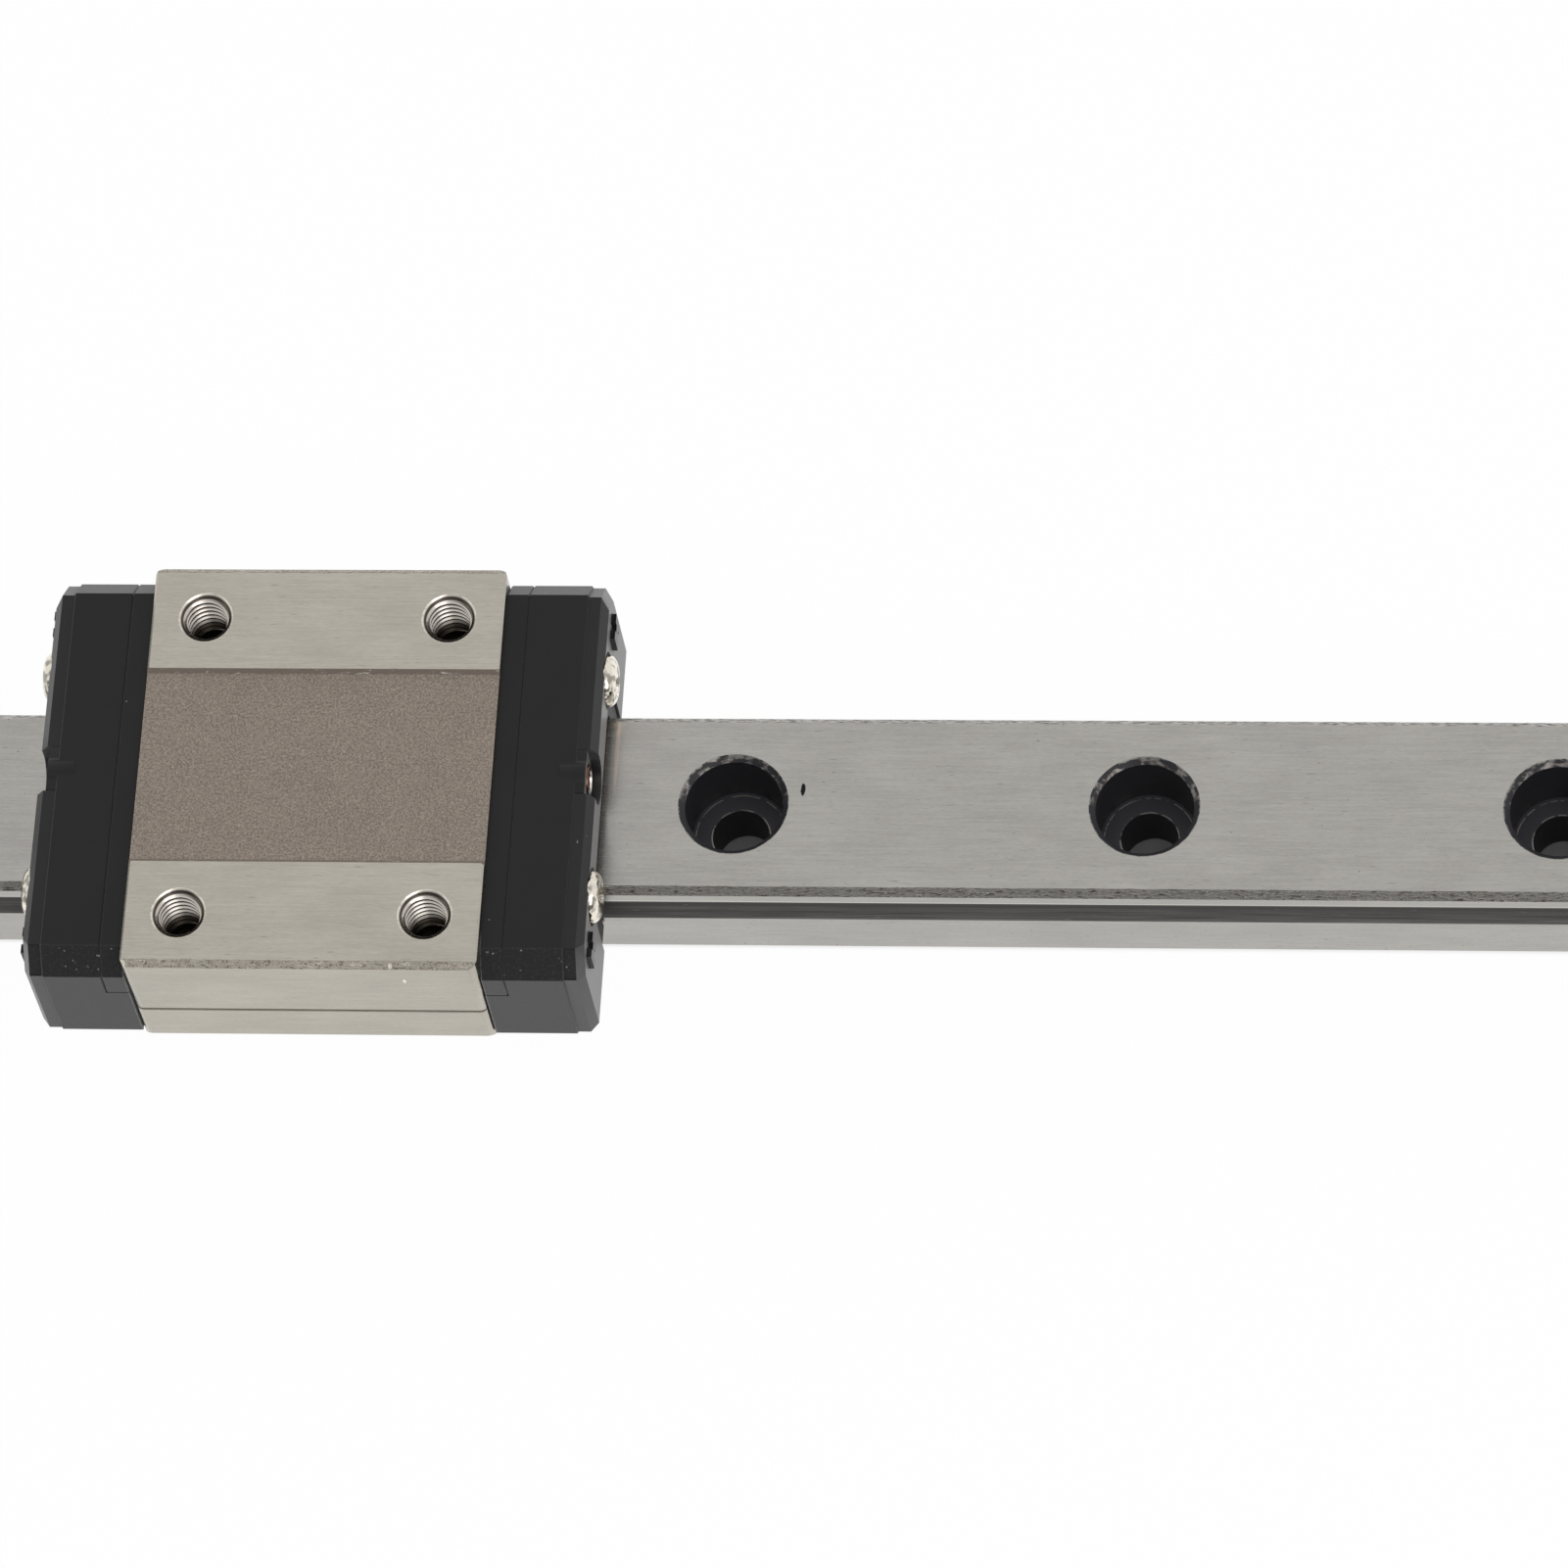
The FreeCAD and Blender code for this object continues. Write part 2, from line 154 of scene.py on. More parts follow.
class Graph:
    """Shader nodes in the making: each method adds a node and returns its output socket."""

    def __init__(self, owner):
        owner.use_nodes = True
        self.tree = owner.node_tree
        self.tree.nodes.clear()

    def feed(self, socket, value):
        """Link an output to the socket, or set the socket to a plain value."""
        if isinstance(value, bpy.types.NodeSocket):
            self.tree.links.new(value, socket)
        elif socket.type == "RGBA":
            socket.default_value = (*value, 1.0)
        else:
            socket.default_value = value

    def place(self):
        """The point on the piece, in millimetres."""
        source = self.tree.nodes.new("ShaderNodeTexCoord")
        scale = self.tree.nodes.new("ShaderNodeVectorMath")
        scale.operation = "SCALE"
        self.feed(scale.inputs[0], source.outputs["Object"])
        scale.inputs["Scale"].default_value = 1 / MM
        return scale.outputs[0]

    def split(self, vector):
        """The three numbers of a vector."""
        node = self.tree.nodes.new("ShaderNodeSeparateXYZ")
        self.feed(node.inputs[0], vector)
        return node.outputs

    def shifted(self, vector, amount):
        """The vector with an amount added to each of its numbers."""
        node = self.tree.nodes.new("ShaderNodeVectorMath")
        self.feed(node.inputs[0], vector)
        self.feed(node.inputs[1], amount)
        return node.outputs[0]

    def math(self, operation, *values):
        """One step of arithmetic."""
        node = self.tree.nodes.new("ShaderNodeMath")
        node.operation = operation
        for socket, value in zip(node.inputs, values):
            self.feed(socket, value)
        return node.outputs[0]

    def reach(self, first, second):
        """The length of a step with these two parts."""
        square = self.math("MULTIPLY", first, first)
        return self.math("SQRT", self.math("MULTIPLY_ADD", second, second, square))

    def rise(self, value, low, high):
        """0 where the value is below low, 1 above high, and a soft step between."""
        node = self.tree.nodes.new("ShaderNodeMapRange")
        node.interpolation_type = "SMOOTHSTEP"
        self.feed(node.inputs["Value"], value)
        node.inputs["From Min"].default_value = low
        node.inputs["From Max"].default_value = high
        return node.outputs["Result"]

    def above(self, value, limit, soft=0.03):
        """1 where the value is above a limit, with a soft edge."""
        return self.rise(value, limit - soft / 2, limit + soft / 2)

    def below(self, value, limit, soft=0.03):
        """1 where the value is below a limit, with a soft edge."""
        return self.rise(value, limit + soft / 2, limit - soft / 2)

    def span(self, value, low, high, soft=0.05):
        """1 between low and high, and 0 outside."""
        return self.math("MULTIPLY", self.above(value, low, soft), self.below(value, high, soft))

    def line(self, value, middle, width, soft=0.04):
        """1 on a line of a width, with its middle at one value."""
        return self.span(value, middle - width / 2, middle + width / 2, soft)

    def chamfer(self, side, height, line, fray, ragged):
        """1 past the line where side and height add up to so much, frayed by a ragged noise."""
        centred = self.math("SUBTRACT", ragged, 0.5)
        return self.above(self.math("MULTIPLY_ADD", centred, fray, self.math("ADD", side, height)), line)

    def spot(self, place, centre, radii, soft=0.3):
        """1 in an egg shape round a point, with a radius for each axis and a soft rim."""
        inverse = [1 / radius for radius in radii]
        shift = self.tree.nodes.new("ShaderNodeMapping")
        self.feed(shift.inputs["Vector"], place)
        shift.inputs["Location"].default_value = [-part * scale for part, scale in zip(centre, inverse)]
        shift.inputs["Scale"].default_value = inverse
        away = self.tree.nodes.new("ShaderNodeVectorMath")
        away.operation = "LENGTH"
        self.feed(away.inputs[0], shift.outputs[0])
        return self.below(away.outputs["Value"], 1, soft)

    def all_of(self, *masks):
        """Where every mask is 1."""
        result = masks[0]
        for mask in masks[1:]:
            result = self.math("MULTIPLY", result, mask)
        return result

    def any_of(self, *masks):
        """Where at least one mask is 1."""
        result = masks[0]
        for mask in masks[1:]:
            result = self.math("MAXIMUM", result, mask)
        return result

    def part(self, mask, share):
        """The mask at a share of its strength."""
        return self.math("MULTIPLY", mask, share)

    def noise(self, vector, size, detail=2.0, harshness=0.5):
        """Soft random patches of a size in millimetres, given for each axis or for all."""
        lengths = size if isinstance(size, tuple) else (size,) * 3
        stretch = self.tree.nodes.new("ShaderNodeMapping")
        self.feed(stretch.inputs["Vector"], vector)
        stretch.inputs["Scale"].default_value = [1 / length for length in lengths]
        node = self.tree.nodes.new("ShaderNodeTexNoise")
        self.feed(node.inputs["Vector"], stretch.outputs[0])
        node.inputs["Scale"].default_value = 1.0
        node.inputs["Detail"].default_value = detail
        node.inputs["Roughness"].default_value = harshness
        return node.outputs[0]

    def grains(self, vector, size):
        """A random number for each small grain of a size in millimetres."""
        node = self.tree.nodes.new("ShaderNodeTexVoronoi")
        self.feed(node.inputs["Vector"], vector)
        node.inputs["Scale"].default_value = 1 / size
        return self.split(node.outputs["Color"])[0]

    def mix(self, factor, first, second):
        """A colour between two, the second where the factor is 1."""
        node = self.tree.nodes.new("ShaderNodeMix")
        node.data_type = "RGBA"
        sockets = {socket.identifier: socket for socket in node.inputs}
        self.feed(sockets["Factor_Float"], factor)
        self.feed(sockets["A_Color"], first)
        self.feed(sockets["B_Color"], second)
        return next(s for s in node.outputs if s.identifier == "Result_Color")

    def blend(self, factor, first, second):
        """A number between two, the second where the factor is 1."""
        node = self.tree.nodes.new("ShaderNodeMix")
        sockets = {socket.identifier: socket for socket in node.inputs}
        self.feed(sockets["Factor_Float"], factor)
        self.feed(sockets["A_Float"], first)
        self.feed(sockets["B_Float"], second)
        return next(s for s in node.outputs if s.identifier == "Result_Float")

    def end(self, shader, output_kind):
        """Join the last shader to the output."""
        output = self.tree.nodes.new(output_kind)
        self.tree.links.new(shader, output.inputs["Surface"])


class Finish(Graph):
    """A material with one surface shader, made of a base and of layers over it."""

    def __init__(self, name):
        self.material = bpy.data.materials.new(name)
        super().__init__(self.material)
        self.base(BLACK, 0.5, 0.0)

    def base(self, colour, roughness, metal):
        """What lies below all layers."""
        self.colour = colour
        self.roughness = roughness
        self.metal = metal

    def lay(self, mask, colour=None, roughness=None, metal=None, share=1.0):
        """A layer over what is there so far, where the mask is 1, and by a share of its strength."""
        if share < 1:
            mask = self.part(mask, share)
        if colour is not None:
            self.colour = self.mix(mask, self.colour, colour)
        if roughness is not None:
            self.roughness = self.blend(mask, self.roughness, roughness)
        if metal is not None:
            self.metal = self.blend(mask, self.metal, metal)

    def close(self, height, depth, gloss=0.5, sheen=0.0):
        """The finished material, with bumps of a depth in millimetres."""
        bump = self.tree.nodes.new("ShaderNodeBump")
        bump.inputs["Distance"].default_value = depth * MM
        self.feed(bump.inputs["Height"], height)
        surface = self.tree.nodes.new("ShaderNodeBsdfPrincipled")
        self.feed(surface.inputs["Base Color"], self.colour)
        self.feed(surface.inputs["Roughness"], self.roughness)
        self.feed(surface.inputs["Metallic"], self.metal)
        self.feed(surface.inputs["Specular IOR Level"], gloss)
        self.feed(surface.inputs["Sheen Weight"], sheen)
        self.feed(surface.inputs["Normal"], bump.outputs["Normal"])
        self.end(surface.outputs["BSDF"], "ShaderNodeOutputMaterial")
        return self.material


def shade(colour, factor):
    """A colour made darker or lighter."""
    return tuple(factor * part for part in colour)


def ground(finish, place, colour, grain):
    """The colour and height of a ground surface, with fine marks and dashes along X."""
    long_marks = finish.noise(place, (grain, 0.13, 0.13), detail=3.0)
    short_marks = finish.noise(place, (grain / 8, 0.06, 0.06), detail=3.0)
    dashes = finish.noise(place, (grain / 3, 0.1, 0.1), detail=1.0)
    hairs = finish.noise(place, (grain / 2.5, 0.05, 0.05), detail=1.0)
    clouds = finish.noise(place, (5.0, 2.0, 2.0))
    marks = finish.blend(0.5, long_marks, short_marks)
    tone = finish.rise(finish.blend(0.3, marks, clouds), 0.3, 0.7)
    light = finish.part(finish.rise(hairs, 0.7, 0.8), 0.6)
    dark = finish.any_of(finish.part(finish.rise(dashes, 0.3, 0.2), 0.75),
                         finish.part(finish.rise(hairs, 0.28, 0.2), 0.7))
    steel = finish.mix(tone, shade(colour, 0.88), shade(colour, 1.12))
    steel = finish.mix(light, steel, shade(colour, 1.4))
    return finish.mix(dark, steel, shade(colour, 0.5)), marks


def blasted(finish, place, colour, contrast=1.0):
    """The colour and height of a blasted surface, with single grains painted bright as glints."""
    grit = finish.noise(place, 0.13, detail=3.0, harshness=0.65)
    clouds = finish.noise(place, 2.2)
    # Painted glints: single grains are painted much lighter, standing in for light that sparkles off them.
    painted_glints = finish.part(finish.rise(finish.grains(place, 0.085), 0.965, 0.985), 0.5)
    tone = finish.rise(finish.blend(0.07, grit, clouds), 0.34, 0.66)
    rough = finish.mix(tone, shade(colour, 1 - 0.3 * contrast), shade(colour, 1 + 0.3 * contrast))
    return finish.mix(painted_glints, rough, shade(colour, 1.8)), grit


def rail_finish(looks):
    """Ground rail steel with rough chamfers, dark grooves and blackened fixing holes."""
    finish = Finish("rail_steel")
    place = finish.place()
    x, y, z = finish.split(place)
    side = finish.math("ABSOLUTE", y)
    ragged = finish.noise(place, (0.5, 0.12, 0.12), detail=4.0)
    steel, marks = ground(finish, place, looks.ground_colour, looks.grain_length / MM)
    finish.base(steel, finish.blend(marks, 0.2, 0.32), 1.0)
    mark_rail(finish, place, ragged, looks)
    darken_groove(finish, place, side, z, looks)

    rough, grit = blasted(finish, place, looks.chamfer_colour, 1.3)
    patches = finish.rise(finish.noise(place, (6.0, 3.0, 3.0), detail=1.0), 0.42, 0.58)
    rough = finish.mix(finish.part(patches, 0.35), rough, looks.patch_colour)
    rough = finish.mix(finish.rise(finish.grains(place, 0.1), 0.975, 0.985), rough, looks.ground_colour)
    chamfer = finish.chamfer(side, z, RAIL_HALF + RAIL_TOP - RAIL_CHAMFER, 0.1, ragged)
    finish.lay(chamfer, rough, roughness=0.65)

    blacken_holes(finish, place, x, y, z, looks)
    height = finish.blend(chamfer, marks, finish.math("MULTIPLY", grit, 6.0))
    return finish.close(height, 0.004)


def mark_rail(finish, place, ragged, looks):
    """Specks, the black spot beside the first fixing hole and the warm streak beside the carriage."""
    specks = finish.rise(finish.noise(place, (0.3, 0.16, 0.16), detail=1.0), 0.77, 0.81)
    frayed = finish.shifted(place, finish.math("MULTIPLY_ADD", ragged, 0.12, -0.06))
    finish.lay(specks, looks.oxide_colour, share=0.7)
    finish.lay(finish.spot(frayed, looks.stain_place, looks.stain_radii), looks.oxide_colour)
    # A warm streak on the rail's top beside the carriage's end.
    finish.lay(finish.spot(place, looks.streak_place, STREAK_RADII, 0.8), looks.streak_colour, share=0.8)


def darken_groove(finish, place, side, z, looks):
    """The streaked ball groove, painted darker at its bottom as shade, with a bright arris that is a painted
    highlight and a dark line of painted shade along its upper edge.
    """
    on_flat = finish.above(side, RAIL_HALF - 0.02, 0.02)
    arris_highlight = finish.all_of(on_flat, finish.span(z, GROOVE_EDGE, GROOVE_EDGE + 0.12, 0.03))
    groove = finish.all_of(finish.span(side, RAIL_HALF - 1.0, RAIL_HALF - 0.01, 0.01),
                           finish.span(z, GROOVE_LOW, GROOVE_HIGH))
    shaded_edge_line = finish.all_of(finish.above(side, RAIL_HALF - 0.375, 0.05),
                              finish.span(z, GROOVE_EDGE - 0.25, GROOVE_EDGE))
    bottom = finish.below(side, RAIL_HALF - GROOVE_BOTTOM, 0.17)
    streaks = finish.rise(finish.noise(place, (6.0, 0.05, 0.05), detail=3.0), 0.3, 0.7)
    scratches = finish.rise(finish.noise(place, (1.5, 0.06, 0.06), detail=1.0), 0.74, 0.8)
    tone = finish.mix(streaks, shade(looks.groove_colour, 0.7), shade(looks.groove_colour, 1.3))
    # Painted shade: the deepest part of the groove is painted darker.
    tone = finish.mix(bottom, tone, shade(looks.groove_colour, 0.6))
    tone = finish.mix(finish.part(scratches, 0.6), tone, looks.ground_colour)
    # Painted shade: the rail's flat sides are painted a little darker than its top.
    finish.lay(on_flat, BLACK, share=0.06)
    # Painted highlight: a thin band along the arris above the groove is painted lighter.
    finish.lay(arris_highlight, shade(looks.ground_colour, 1.3))
    finish.lay(groove, tone, roughness=0.55)
    # Painted shade: a dark line is painted along the groove's upper edge, partly onto the flat.
    finish.lay(shaded_edge_line, shade(looks.groove_colour, 0.3))


def blacken_holes(finish, place, x, y, z, looks):
    """The blackened fixing holes, with a worn mouth and bright rims round the seat."""
    along = finish.math("SUBTRACT", finish.math("FLOORED_MODULO", x, HOLE_PITCH), HOLE_PITCH / 2)
    from_axis = finish.reach(along, y)
    wear = finish.noise(place, (0.9, 0.6, 0.4), detail=3.0, harshness=0.6)
    bore = finish.all_of(finish.below(from_axis, MOUTH_RADIUS), finish.rise(z, 0.05, 0.1))
    seat = finish.all_of(bore, finish.line(z, SEAT_HEIGHT, 0.1))
    mouth = finish.all_of(bore, finish.above(z, RAIL_TOP - MOUTH_DEPTH, 0.04))
    worn = finish.all_of(mouth, finish.rise(y, 0.0, 1.2), finish.rise(wear, 0.46, 0.66))
    edge = finish.all_of(mouth, finish.above(z, RAIL_TOP - 0.05, 0.04), finish.rise(wear, 0.45, 0.55))
    rings = finish.any_of(finish.line(from_axis, SEAT_RIM, 0.07),
                          finish.span(from_axis, THROUGH_RADIUS, THROUGH_RADIUS + 0.08))
    rims = finish.all_of(seat, rings, finish.rise(wear, 0.42, 0.52))
    worn_tone = finish.mix(wear, shade(looks.worn_colour, 0.2), shade(looks.worn_colour, 1.4))
    finish.lay(bore, looks.oxide_colour, roughness=0.45, metal=0.0)
    finish.lay(seat, shade(looks.oxide_colour, 2.2))
    finish.lay(worn, worn_tone, metal=1.0)
    finish.lay(finish.any_of(rims, edge), shade(looks.ground_colour, 0.8), metal=1.0)


def block_finish(looks):
    """Block steel: ground pads and sides, a blasted recess, nicked chamfers and bright threads."""
    finish = Finish("block_steel")
    place = finish.place()
    x, y, z = finish.split(place)
    side = finish.math("ABSOLUTE", y)
    along = finish.math("ABSOLUTE", finish.math("SUBTRACT", x, BLOCK_MIDDLE))
    ragged = finish.noise(place, (0.5, 0.15, 0.15), detail=4.0)
    rubbed = finish.noise(place, (1.2, 0.25, 0.25), detail=4.0, harshness=0.7)
    steel, marks = ground(finish, place, looks.ground_colour, looks.grain_length / MM)
    rough, grit = blasted(finish, place, looks.recess_colour)
    edge, edge_grit = blasted(finish, place, looks.edge_colour, 2.2)

    recess = finish.all_of(finish.below(side, RECESS_HALF), finish.below(z, BLOCK_TOP - 0.0125, 0.015),
                           finish.above(z, BLOCK_TOP - RECESS_DEPTH - 0.075, 0.05))
    step = finish.all_of(recess, finish.above(z, BLOCK_TOP - RECESS_DEPTH + 0.03, 0.02))
    chamfer = finish.chamfer(side, z, BLOCK_SIDE + BLOCK_TOP - BLOCK_CHAMFER, 0.16, ragged)
    broken = finish.rise(finish.noise(place, (0.35, 0.15, 0.15), detail=3.0), 0.49, 0.56)
    nicks = finish.all_of(finish.any_of(chamfer, step), finish.rise(rubbed, 0.6, 0.66))
    ends = finish.all_of(finish.above(along, BLOCK_HALF - 0.065), finish.above(z, BLOCK_TOP - 0.065))
    side_line = finish.all_of(finish.line(z, SIDE_LINE, 0.26, 0.05),
                              finish.below(side, BLOCK_SIDE - 0.04, 0.04))

    finish.base(steel, finish.blend(marks, 0.22, 0.34), 1.0)
    # Painted shade: the block's sides are painted a little darker than its top.
    finish.lay(finish.above(side, BLOCK_SIDE - 0.035), BLACK, share=0.07)
    finish.lay(recess, rough)
    finish.lay(chamfer, edge, share=0.18)
    finish.lay(finish.all_of(chamfer, broken), edge)
    # Painted highlight: thin lines along the top edges at the block's ends are painted lighter.
    finish.lay(ends, shade(looks.ground_colour, 1.35))
    finish.lay(finish.any_of(recess, chamfer), roughness=0.7, metal=0.55)
    finish.lay(step, shade(looks.recess_colour, 0.8))
    finish.lay(nicks, looks.thread_colour, roughness=0.26)
    finish.lay(side_line, shade(looks.recess_colour, 0.8))
    brighten_threads(finish, along, side, z, rubbed, looks)
    for centre, radii in BLOCK_FLECKS:
        finish.lay(finish.spot(place, centre, radii), shade(looks.ground_colour, 1.7))

    grain = finish.blend(chamfer, grit, finish.math("MULTIPLY", edge_grit, 2.5))
    height = finish.blend(finish.any_of(recess, chamfer), marks, finish.math("MULTIPLY", grain, 10.0))
    return finish.close(height, 0.004)


def brighten_threads(finish, along, side, z, rubbed, looks):
    """The bright threads of the tapped holes, with shade painted dark into their valleys and bottoms."""
    from_hole = finish.reach(finish.math("SUBTRACT", along, TAPPED["spacing_x_mm"] / 2),
                             finish.math("SUBTRACT", side, TAPPED["spacing_y_mm"] / 2))
    hole = finish.all_of(finish.below(from_hole, TAPPED_MOUTH + 0.02, 0.04),
                         finish.below(z, BLOCK_TOP - 0.005, 0.01),
                         finish.above(z, TAPPED_FLOOR - 0.075, 0.05))
    valley = finish.all_of(finish.above(from_hole, TAPPED["hole_r_mm"] + 0.1, 0.12),
                           finish.below(z, BLOCK_TOP - 0.4, 0.1))
    deep = finish.rise(z, BLOCK_TOP - 1.8, TAPPED_FLOOR + 0.5)
    ring = finish.all_of(finish.line(from_hole, THREAD_RING, 0.14), finish.above(z, BLOCK_TOP - 0.45, 0.1))
    rim = finish.all_of(finish.line(from_hole, TAPPED_MOUTH - 0.03, 0.08, 0.02),
                        finish.above(z, BLOCK_TOP - 0.125, 0.05), finish.rise(rubbed, 0.42, 0.5))
    finish.lay(hole, looks.thread_colour, roughness=0.26)
    # Painted shade: the threads' valleys and the deep bottom of each hole are painted near black.
    finish.lay(finish.all_of(hole, finish.any_of(valley, deep)), looks.thread_shade_colour)
    finish.lay(finish.all_of(hole, ring), shade(looks.recess_colour, 0.35))
    finish.lay(rim, shade(looks.ground_colour, 1.7))


def plastic_finish(name, colour, roughness, gloss, sheen):
    """Moulded black plastic with a fine skin, a rubbed front bevel, worn seams and a few pale flecks."""
    finish = Finish(name)
    place = finish.place()
    x, y, z = finish.split(place)
    along = finish.math("ABSOLUTE", finish.math("SUBTRACT", x, BLOCK_MIDDLE))
    skin = finish.noise(place, 0.1, detail=3.0, harshness=0.6)
    rub = finish.noise(place, (0.16, 0.13, 0.13), detail=3.0, harshness=0.7)
    clouds = finish.rise(finish.noise(place, 3.0), 0.3, 0.7)

    bevel = finish.all_of(finish.below(y, -BEVEL_SIDE, 0.1), finish.above(z, BEVEL_HEIGHT, 0.1))
    in_front = finish.below(y, -BEVEL_SIDE + 0.8, 0.8)
    seam = finish.all_of(finish.span(along, CAP_END - 0.16, CAP_END + 0.04, 0.06), in_front,
                         finish.rise(rub, 0.42, 0.6))
    edge = finish.all_of(finish.span(along, CAP_START - 0.01, CAP_START + 0.09, 0.04), in_front,
                         finish.rise(rub, 0.3, 0.5))
    bits = finish.all_of(finish.any_of(bevel, seam), finish.rise(finish.grains(place, 0.1), 0.993, 0.997))
    flecks = finish.rise(finish.noise(place, 0.26, detail=0.0), 0.885, 0.9)
    gap = finish.span(along, CAP_START - 0.09, CAP_START, 0.03)
    ledge = finish.part(finish.above(along, SEAL_END + 0.03, 0.06), 0.6)
    boss_face = finish.all_of(finish.above(along, SEAL_END + 0.2, 0.08),
                              finish.above(finish.math("ABSOLUTE", y), BOSS_SIDE + 0.05, 0.1))

    finish.base(finish.mix(clouds, shade(colour, 0.85), shade(colour, 1.15)),
                finish.blend(skin, roughness - 0.07, roughness + 0.07), 0.0)
    finish.lay(bevel, BEVEL_TONE)
    finish.lay(finish.all_of(bevel, finish.rise(rub, 0.5, 0.72)), RUBBED_TONE, share=0.4)
    finish.lay(finish.any_of(seam, edge), WORN_TONE, share=0.7)
    finish.lay(bits, BIT_TONE, share=0.8)
    finish.lay(flecks, FLECK_TONE, share=0.6)
    # Painted shade: the seam before the cap and the end faces of the cap's bosses are painted black without
    # reflection, and what stands out past the seal is painted darker.
    finish.lay(finish.any_of(gap, ledge, boss_face), BLACK, metal=1.0)
    height = finish.blend(bevel, skin, finish.math("MULTIPLY", rub, 1.5))
    return finish.close(height, 0.005, gloss, sheen)


def port_finish(name, colour):
    """The grease port's bush: dark red inside, dark outside, and a highlight painted on its lower lip."""
    finish = Finish(name)
    place = finish.place()
    x, y, z = finish.split(place)
    left_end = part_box("grease_port_left")[0].x / MM
    low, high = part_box("grease_port_right")
    right_end = high.x / MM
    middle = (low.z + high.z) / 2 / MM
    from_axis = finish.reach(y, finish.math("SUBTRACT", z, middle))
    marks = finish.noise(place, 0.2, detail=3.0)
    inside = finish.below(from_axis, PORT_BORE, 0.04)
    lip = finish.any_of(finish.above(x, right_end - PORT_LIP, 0.04),
                        finish.below(x, left_end + PORT_LIP, 0.04))
    lower = finish.below(z, middle - 0.25, 0.3)
    finish.base(shade(colour, 0.15), finish.blend(marks, 0.2, 0.35), 1.0)
    finish.lay(inside, finish.mix(marks, shade(colour, 0.05), shade(colour, 0.3)))
    # Painted highlight: the lower half of the bush's lip is painted bright, and its upper half a darker red.
    finish.lay(lip, finish.mix(lower, shade(colour, 0.3), LIP_HIGHLIGHT_TONE))
    return finish.close(marks, 0.004)


def metal_finish(name, colour, roughness, dents):
    """Plated metal with dents of a depth in millimetres, which break up what it reflects, and with dark and
    light patches painted over them as reflections.
    """
    finish = Finish(name)
    bumps = finish.noise(finish.place(), 0.5, detail=1.0)
    # Painted reflection: dark and light patches follow the dents.
    tone = finish.mix(finish.rise(bumps, 0.34, 0.56), shade(colour, 0.5), shade(colour, 1.2))
    finish.base(tone, finish.blend(bumps, roughness - 0.05, roughness + 0.05), 1.0)
    return finish.close(bumps, dents)


def merged(node):
    """The shape of a CAD node with its triangles joined and each flat face whole."""
    shape = bmesh.new()
    shape.from_mesh(frame["nodes"][node].data)
    bmesh.ops.remove_doubles(shape, verts=shape.verts, dist=SAME_POINT)
    bmesh.ops.dissolve_limit(shape, angle_limit=math.radians(0.5), verts=shape.verts, edges=shape.edges)
    return shape


def rounded(shape, width):
    """The shape with its sharp edges rounded to a width in metres."""
    sharp = [e for e in shape.edges if e.is_manifold and e.calc_face_angle() > math.radians(25)]
    bmesh.ops.bevel(shape, geom=sharp, offset=width, offset_type="OFFSET", segments=2, profile=0.5,
                    affect="EDGES", clamp_overlap=True, material=-1)
    return shape


def finished(shape, name, material, sharp_angle=math.radians(35)):
    """An object made of the shape, smooth but for its sharp edges."""
    for face in shape.faces:
        face.smooth = True
    for edge in shape.edges:
        edge.smooth = not edge.is_manifold or edge.calc_face_angle() < sharp_angle
    mesh = bpy.data.meshes.new(name)
    shape.to_mesh(mesh)
    shape.free()
    mesh.materials.append(material)
    piece = bpy.data.objects.new(name, mesh)
    collection_objects().link(piece)
    level = piece.modifiers.new("even_normals", "WEIGHTED_NORMAL")
    level.keep_sharp = True
    return piece


def stand_for(piece, node):
    """The piece takes a CAD node's place and body, and the node is hidden."""
    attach(piece, NODE_BODY[node])
    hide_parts(node)


def cut(shape, tool):
    """The shape with the tool's volume taken out of it."""
    objects = []
    for part in (shape, tool):
        mesh = bpy.data.meshes.new("cut")
        part.to_mesh(mesh)
        part.free()
        objects.append(bpy.data.objects.new("cut", mesh))
        collection_objects().link(objects[-1])
    body, cutter = objects
    taken = body.modifiers.new("taken", "BOOLEAN")
    taken.operation = "DIFFERENCE"
    taken.solver = "EXACT"
    taken.object = cutter
    result = bpy.data.meshes.new_from_object(body.evaluated_get(bpy.context.evaluated_depsgraph_get()))
    shape = bmesh.new()
    shape.from_mesh(result)
    bpy.data.meshes.remove(result)
    for spare in objects:
        bpy.data.meshes.remove(spare.data)
    if not shape.faces:
        raise RuntimeError("the cut left nothing")
    return shape


def joined(shapes):
    """Several shapes as one."""
    whole = bmesh.new()
    for shape in shapes:
        mesh = bpy.data.meshes.new("joined")
        shape.to_mesh(mesh)
        shape.free()
        whole.from_mesh(mesh)
        bpy.data.meshes.remove(mesh)
    return whole


def lumps(shape):
    """The separate lumps of a shape, each as a list of its vertices."""
    seen = set()
    for first in shape.verts:
        if first in seen:
            continue
        lump = [first]
        seen.add(first)
        for vert in lump:
            for edge in vert.link_edges:
                other = edge.other_vert(vert)
                if other not in seen:
                    seen.add(other)
                    lump.append(other)
        yield lump


